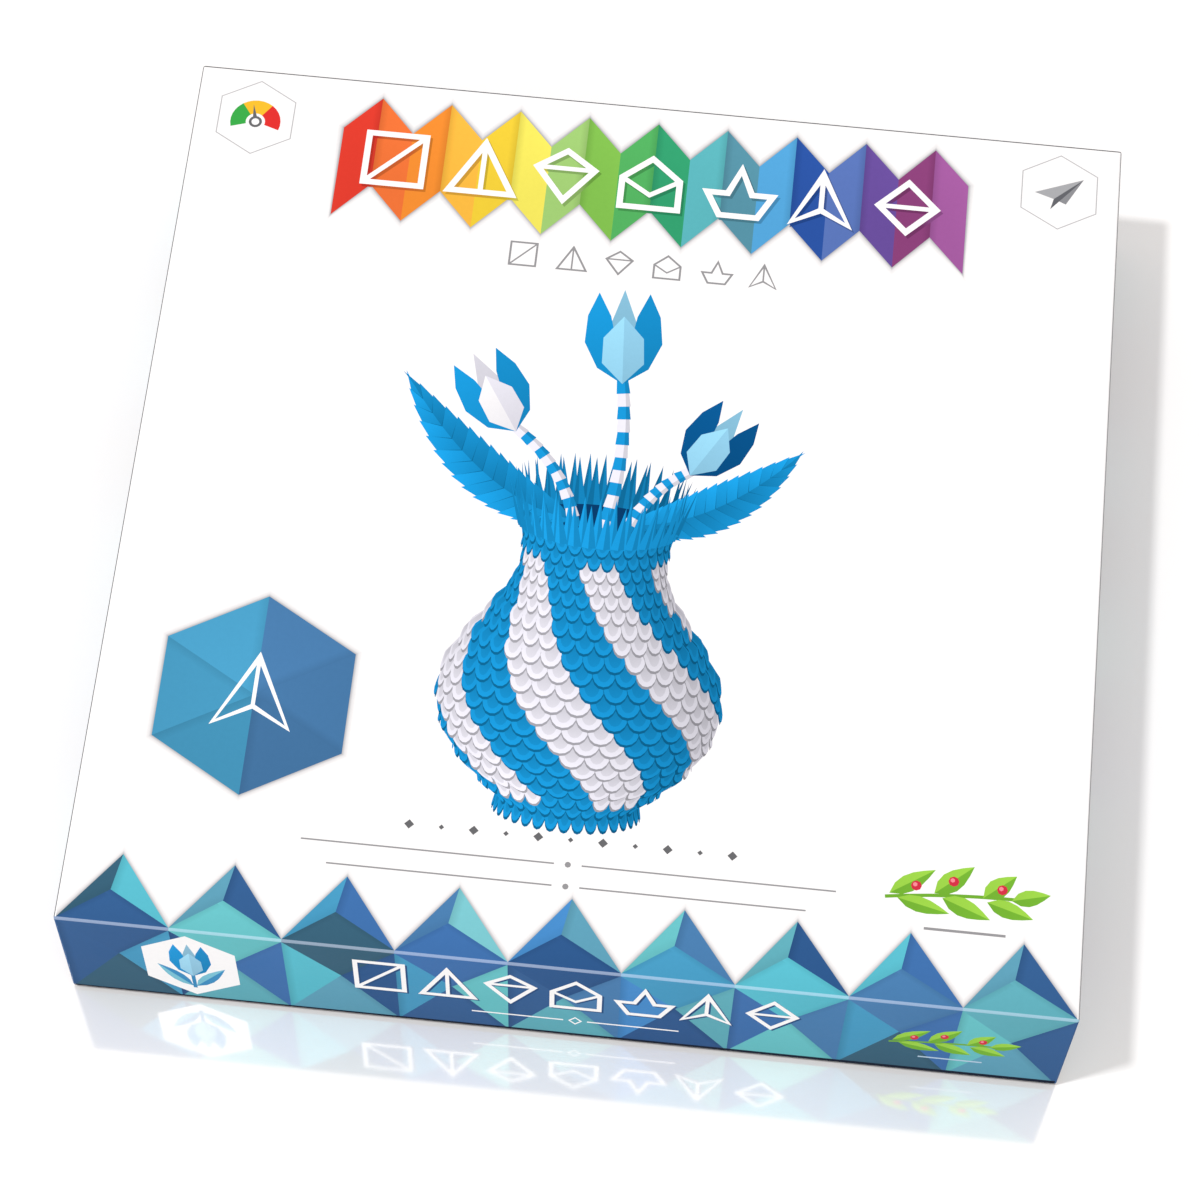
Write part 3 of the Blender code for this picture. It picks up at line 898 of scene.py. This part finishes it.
def fold_ink(settings, face, half):
    """The ink of a face of the lid that no drawing covers."""
    middle, normal = face.calc_center_median(), face.normal
    at_top = middle.z > LID_HIGH.z - FOLD_REACH * MM
    # The faces at the foot of the walls get the painted shadow's dark ink.
    if middle.z < LID_LOW.z + FOLD_REACH * MM:
        return RIM_SHADOW_NAVY
    if not at_top and abs(middle.x) / MM <= half and abs(middle.y) / MM <= half:
        turned_in = middle.z < LID_LOW.z + LID_TURN_IN * MM and abs(normal.z) < 0.9
        return PAPER_WHITE if turned_in else BOARD_GREY
    if at_top:
        if middle.y / MM < -half:
            count = settings.peak_count
            n = int((middle.x / MM + half) / (2 * half) * count)
            inks = PEAK_INKS[min(max(n, 0), count - 1)]
            # The front fold gets a painted highlight, for the rounded fold catching light, together
            # with its rubbed edge.
            return mix(inks[2], FOLD_HIGHLIGHT_AND_WEAR, settings.fold_highlight_and_wear)
        # The back, left and right folds get painted shade, a grey line along the cover's edge.
        if middle.y / MM > half:
            return BACK_FOLD_SHADE
        if normal.z > 0.9:
            return PAPER_WHITE
        return LEFT_FOLD_SHADE if middle.x < 0 else RIGHT_FOLD_SHADE
    return KITE_INKS[0][1] if middle.x * middle.y > 0 else KITE_INKS[-1][0]


# Materials

def new_material(name):
    """A material and its shader."""
    material = bpy.data.materials.new(name)
    material.use_nodes = True
    material.node_tree.nodes.clear()
    shader = add_node(material, "ShaderNodeBsdfPrincipled")
    add_node(material, "ShaderNodeOutputMaterial", {"Surface": shader.outputs["BSDF"]})
    return material, shader


def add_node(material, kind, sockets=None, **settings):
    node = material.node_tree.nodes.new(kind)
    for name, value in settings.items():
        setattr(node, name, value)
    feed(material, node, sockets or {})
    return node


def feed(material, node, sockets):
    """Gives each socket its value, or a link from the output that stands for it."""
    for name, value in sockets.items():
        if isinstance(value, bpy.types.NodeSocket):
            material.node_tree.links.new(value, node.inputs[name])
        else:
            node.inputs[name].default_value = value


def object_noise(material, scale, detail=3.0, stretch=(1, 1, 1)):
    """Noise on the piece's own coordinates, from 0 to 1."""
    place = add_node(material, "ShaderNodeTexCoord").outputs["Object"]
    mapping = add_node(material, "ShaderNodeMapping", {"Vector": place, "Scale": stretch})
    sockets = {"Vector": mapping.outputs["Vector"], "Scale": scale, "Detail": detail}
    return add_node(material, "ShaderNodeTexNoise", sockets).outputs["Fac"]


def ranged(material, value, low, high):
    """Noise made to run from one value to another."""
    lowest, highest = NOISE_RANGE
    sockets = {"Value": value, "From Min": lowest, "From Max": highest, "To Min": low, "To Max": high}
    return add_node(material, "ShaderNodeMapRange", sockets).outputs["Result"]


def toned(material, colour, factor):
    """A colour times a grey factor."""
    sockets = {"Factor": 1.0, "A": colour, "B": factor}
    settings = {"data_type": "RGBA", "blend_type": "MULTIPLY"}
    return add_node(material, "ShaderNodeMix", sockets, **settings).outputs["Result"]


def mixed_colour(material, share, first, second):
    """A colour between two, which are inks or outputs."""
    sockets = {"Factor": share}
    for name, colour in (("A", first), ("B", second)):
        sockets[name] = (*colour, 1.0) if isinstance(colour, tuple) else colour
    return add_node(material, "ShaderNodeMix", sockets, data_type="RGBA").outputs["Result"]


def bump(material, height, strength, distance, node):
    """Puts a bump into a node's normal."""
    sockets = {"Height": height, "Strength": strength, "Distance": distance}
    added = add_node(material, "ShaderNodeBump", sockets)
    feed(material, node, {"Normal": added.outputs["Normal"]})
    return added


def printed_paper():
    """Satin printed paper: the ink is in the mesh, the grain and the waviness are here."""
    material, shader = new_material("printed_paper")
    print_ink = add_node(material, "ShaderNodeAttribute", attribute_name=PRINT_ATTRIBUTE)
    mottle = ranged(material, object_noise(material, 900), 0.78, 0.80)
    feed(material, shader, {
        "Base Color": toned(material, print_ink.outputs["Color"], mottle),
        "Roughness": ranged(material, object_noise(material, 60, 4), 0.34, 0.44),
        "Specular IOR Level": PRINT_SPECULAR,
    })
    grain = bump(material, object_noise(material, 2600, 2), 0.25, 0.02 * MM, shader)
    bump(material, object_noise(material, 34, 1), 0.35, 0.2 * MM, grain)
    return material


def plain_paper(name, colour, grain_scale, roughness, depth=0.02 * MM, stretch=(1, 1, 1)):
    """Uncoated paper of one colour with a fibrous grain."""
    material, shader = new_material(name)
    fibres = object_noise(material, grain_scale, 4, stretch)
    share = ranged(material, fibres, 0, 1)
    feed(material, shader, {
        "Base Color": mixed_colour(material, share, shaded(colour, 0.96), shaded(colour, 1.02)),
        "Roughness": ranged(material, fibres, roughness - 0.06, roughness + 0.06),
        "Specular IOR Level": PAPER_SPECULAR,
    })
    bump(material, fibres, 0.4, depth, shader)
    return material


def calculated(material, operation, *values):
    """The result of a sum on outputs and numbers."""
    sockets = dict(enumerate(values))
    return add_node(material, "ShaderNodeMath", sockets, operation=operation).outputs[0]


def inside_tray(material):
    """1 on the bare board in the tray, and 0 on the wrap with its turned-in edge."""
    place = add_node(material, "ShaderNodeTexCoord").outputs["Object"]
    parts = add_node(material, "ShaderNodeSeparateXYZ", {"Vector": place}).outputs
    turn_in = TRAY_HIGH.z - TRAY_TURN_IN * MM
    above = calculated(material, "GREATER_THAN", parts["Z"], TRAY_SKIN * MM)
    below = calculated(material, "LESS_THAN", parts["Z"], turn_in)
    share = calculated(material, "MULTIPLY", above, below)
    for axis, edge in (("X", TRAY_HIGH.x), ("Y", TRAY_HIGH.y)):
        away = calculated(material, "ABSOLUTE", parts[axis])
        between = calculated(material, "LESS_THAN", away, edge - TRAY_SKIN * MM)
        share = calculated(material, "MULTIPLY", share, between)
    return share


def wrapped_board(wrap):
    """The tray's dark wrapping paper outside and its bare board inside."""
    material, shader = new_material("navy_wrap_paper")
    fibres = object_noise(material, 500, 5, (1, 1, 0.3))
    share = ranged(material, fibres, 0, 1)
    dark = mixed_colour(material, share, shaded(wrap, 0.85), shaded(wrap, 1.2))
    bare = mixed_colour(material, share, shaded(BOARD_GREY, 0.9), shaded(BOARD_GREY, 1.05))
    feed(material, shader, {
        "Base Color": mixed_colour(material, inside_tray(material), dark, bare),
        "Roughness": ranged(material, fibres, 0.45, 0.6),
    })
    bump(material, fibres, 0.4, 0.03 * MM, shader)
    return material


def glossy_floor():
    """White and a little cloudy, with a clear reflection."""
    material, shader = new_material("floor")
    share = ranged(material, object_noise(material, 3, 2), 0, 1)
    feed(material, shader, {
        "Base Color": mixed_colour(material, share, (0.93,) * 3, (0.95,) * 3),
        "Roughness": FLOOR_ROUGHNESS,
        "IOR": FLOOR_IOR,
    })
    return material


def new_piece(scene, name, bm, material):
    """An object with the shape of the bmesh, in one material."""
    mesh = bpy.data.meshes.new(name)
    bm.to_mesh(mesh)
    bm.free()
    mesh.materials.clear()
    mesh.materials.append(material)
    piece = bpy.data.objects.new(name, mesh)
    scene.collection.objects.link(piece)
    return piece


def dress_node(name, material):
    """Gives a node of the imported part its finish."""
    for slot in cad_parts[name].material_slots:
        slot.material = material


# What a user may change

class KitBoxPrintSettings(bpy.types.PropertyGroup):
    peak_count: bpy.props.IntProperty(
        name="Peaks",
        description="How many folded peaks stand along the front edge of the cover",
        default=9,
        min=5,
        max=9,
    )
    peak_height: bpy.props.FloatProperty(
        name="Peak height",
        description="How far the peaks rise from the front fold",
        default=0.018,
        unit="LENGTH",
    )
    front_stretch: bpy.props.FloatProperty(
        name="Front stretch",
        description="How much taller the front wall's motifs are than the cover's",
        default=1.5,
        min=1,
        max=1.6,
    )
    # How strong the painted highlight and the rubbed wear along the front fold are.
    fold_highlight_and_wear: bpy.props.FloatProperty(
        name="Fold lightness",
        description="How far the ink is rubbed light along the front fold",
        default=0.36,
        subtype="FACTOR",
        min=0,
        max=1,
    )


class KitBoxPaperSettings(bpy.types.PropertyGroup):
    wrap_colour: bpy.props.FloatVectorProperty(
        name="Tray wrap",
        description="Colour of the paper round the tray",
        default=ink(24, 34, 58),
        subtype="COLOR",
    )
    white_colour: bpy.props.FloatVectorProperty(
        name="White slips",
        description="Colour of the white paper slips",
        default=ink(224, 224, 230),
        subtype="COLOR",
    )
    blue_colour: bpy.props.FloatVectorProperty(
        name="Blue slips",
        description="Colour of the blue paper slips",
        default=ink(26, 136, 198),
        subtype="COLOR",
    )


class KitBoxStageSettings(bpy.types.PropertyGroup):
    focal_length: bpy.props.FloatProperty(
        name="Focal length",
        description="Focal length on a 36 mm sensor, in millimetres",
        default=115.22,
    )
    sky_strength: bpy.props.FloatProperty(
        name="Sky strength",
        description="Strength of the even light from all round",
        default=0.82,
    )
    key_power: bpy.props.FloatProperty(
        name="Key power",
        description="Power of the lamp far up on the left in front",
        default=462.0,
        unit="POWER",
    )
    fill_power: bpy.props.FloatProperty(
        name="Fill power",
        description="Power of the low lamp in front",
        default=10.0,
        unit="POWER",
    )
    floor_size: bpy.props.FloatProperty(
        name="Floor size",
        description="Length of the square floor's side",
        default=8.0,
        unit="LENGTH",
    )


# The pieces

class KITBOX_OT_lid(bpy.types.Operator):
    """Cuts the print into the lid and gives it its paper"""

    bl_idname = "kit_box.lid"
    bl_label = "Printed Lid"

    def execute(self, context):
        settings = context.scene.kit_box_print
        bm = bmesh.new()
        bm.from_mesh(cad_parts["lid"].data)
        bmesh.ops.remove_doubles(bm, verts=bm.verts[:], dist=MERGE_DISTANCE * MM)
        bmesh.ops.dissolve_limit(
            bm, angle_limit=math.radians(1), verts=bm.verts[:], edges=bm.edges[:]
        )
        sides = lid_sides()
        flats = [side.face(bm) for side in sides]
        cover, front = flats[:2]
        half = max(sides[0].flat(vert.co).x for vert in cover.verts)
        heights = [vert.co.z / MM for vert in front.verts]
        for face in bm.faces:
            is_small = face.calc_area() < LARGEST_ROUNDED_AREA * MM * MM
            face.smooth = is_small and face not in flats

        cut_front_fold(bm, half, settings.peak_count)
        layer = bm.loops.layers.float_color.new(PRINT_ATTRIBUTE)
        for face in bm.faces:
            tone = fold_ink(settings, face, half)
            for loop in face.loops:
                loop[layer] = (*tone, 1.0)
        imprint(bm, sides[0], cover_drawing(settings, half), layer)
        for n, side in enumerate(sides[1:]):
            walls = wall_drawing(settings, half, min(heights), max(heights), 2 * n, n == 0)
            imprint(bm, side, walls, layer)

        lid = new_piece(context.scene, "printed_lid", bm, printed_paper())
        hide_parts("lid")
        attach(lid, "root")
        return {"FINISHED"}


class KITBOX_OT_tray(bpy.types.Operator):
    """Gives the tray its dark wrap outside and bare board inside"""

    bl_idname = "kit_box.tray"
    bl_label = "Wrapped Tray"

    def execute(self, context):
        wrap = Ink(*context.scene.kit_box_paper.wrap_colour)
        dress_node("tray", wrapped_board(wrap))
        return {"FINISHED"}


class KITBOX_OT_papers(bpy.types.Operator):
    """Gives the leaflet, the stacks of slips, their bands and the stickers their papers"""

    bl_idname = "kit_box.papers"
    bl_label = "Papers Inside"

    def execute(self, context):
        settings = context.scene.kit_box_paper
        white, blue = Ink(*settings.white_colour), Ink(*settings.blue_colour)
        stack = {"grain_scale": 120, "roughness": 0.7, "depth": 0.05 * MM, "stretch": (1, 1, 20)}
        papers = {
            "white_slips": plain_paper("white_slip_paper", white, **stack),
            "blue_slips": plain_paper("blue_slip_paper", blue, **stack),
            "paper_band": plain_paper("band_kraft_paper", ink(200, 190, 172), 700, 0.8),
            "instruction_leaflet": plain_paper("leaflet_sheet", ink(218, 218, 214), 400, 0.6),
            "sticker_sheet": plain_paper("sticker_backing", ink(216, 214, 204), 300, 0.4),
        }
        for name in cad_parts:
            for start, material in papers.items():
                if name.startswith(start):
                    dress_node(name, material)
        return {"FINISHED"}


def add_lamp(scene, name, power, size, place, target):
    lamp = bpy.data.lights.new(name, "AREA")
    lamp.shape = "RECTANGLE"
    lamp.size, lamp.size_y = size
    lamp.energy = power
    holder = bpy.data.objects.new(name, lamp)
    scene.collection.objects.link(holder)
    turn = (Vector(place) - Vector(target)).to_track_quat("Z", "Y").to_matrix().to_4x4()
    holder.matrix_world = Matrix.Translation(place) @ turn


def light_studio(scene, settings):
    """Even light from all round, a lamp far up on the left in front and a low one in front."""
    world = bpy.data.worlds.new("studio")
    world.use_nodes = True
    sky = world.node_tree.nodes["Background"]
    sky.inputs["Color"].default_value = (1.0, 0.95, 0.925, 1.0)
    sky.inputs["Strength"].default_value = settings.sky_strength
    scene.world = world
    add_lamp(
        scene, "key", settings.key_power, size=(0.5, 0.5), place=(-3.16, -1.4, 8), target=(0, 0, 0)
    )
    add_lamp(
        scene, "fill", settings.fill_power, size=(2.4, 0.8), place=(0, -2.2, 0.7), target=(0, 0, 0.02)
    )


def place_camera(scene, focal_length):
    """The camera looks down from in front, turned to the left and rolled a little."""
    tilt = math.radians(90 - CAMERA_ELEVATION)
    turn = Matrix.Rotation(math.radians(CAMERA_AZIMUTH), 4, "Z") @ Matrix.Rotation(tilt, 4, "X")
    roll = Matrix.Rotation(math.radians(CAMERA_ROLL), 4, "Z")
    width = LID_HIGH.x - LID_LOW.x
    place = Vector((0, 0, LID_HIGH.z)) + Vector(CAMERA_PLACE) * width
    camera = bpy.data.cameras.new("camera")
    camera.lens = focal_length
    camera.sensor_width = SENSOR_WIDTH
    camera.clip_end = 50.0
    holder = bpy.data.objects.new("camera", camera)
    scene.collection.objects.link(holder)
    holder.matrix_world = Matrix.Translation(place) @ turn @ roll
    scene.camera = holder


class KITBOX_OT_stage(bpy.types.Operator):
    """Makes the floor, the light and the camera"""

    bl_idname = "kit_box.stage"
    bl_label = "Studio"

    def execute(self, context):
        scene = context.scene
        settings = scene.kit_box_stage
        scene.view_settings.view_transform = "Standard"
        bm = bmesh.new()
        bmesh.ops.create_grid(bm, x_segments=1, y_segments=1, size=settings.floor_size / 2)
        floor = new_piece(scene, "floor", bm, glossy_floor())
        light_studio(scene, settings)
        place_camera(scene, settings.focal_length)
        return {"FINISHED"}


class KITBOX_PT_panel(bpy.types.Panel):
    bl_idname = "KITBOX_PT_panel"
    bl_label = "Kit Box"
    bl_space_type = "VIEW_3D"
    bl_region_type = "UI"
    bl_category = "Kit Box"

    def draw(self, context):
        for group, operators in (
            ("kit_box_print", ("kit_box.lid",)),
            ("kit_box_paper", ("kit_box.tray", "kit_box.papers")),
            ("kit_box_stage", ("kit_box.stage",)),
        ):
            box = self.layout.box()
            settings = getattr(context.scene, group)
            for name in settings.bl_rna.properties.keys():
                if name not in ("rna_type", "name"):
                    box.prop(settings, name)
            for operator in operators:
                box.operator(operator)


CLASSES = (
    KitBoxPrintSettings,
    KitBoxPaperSettings,
    KitBoxStageSettings,
    KITBOX_OT_lid,
    KITBOX_OT_tray,
    KITBOX_OT_papers,
    KITBOX_OT_stage,
    KITBOX_PT_panel,
)
GROUPS = {
    "kit_box_print": KitBoxPrintSettings,
    "kit_box_paper": KitBoxPaperSettings,
    "kit_box_stage": KitBoxStageSettings,
}


def register():
    for kind in CLASSES:
        bpy.utils.register_class(kind)
    for name, group in GROUPS.items():
        setattr(bpy.types.Scene, name, bpy.props.PointerProperty(type=group))


def unregister():
    for name in GROUPS:
        delattr(bpy.types.Scene, name)
    for kind in reversed(CLASSES):
        bpy.utils.unregister_class(kind)


def main():
    register()
    bpy.ops.kit_box.stage()
    bpy.ops.kit_box.tray()
    bpy.ops.kit_box.papers()
    bpy.ops.kit_box.lid()


if __name__ == "__main__":
    main()
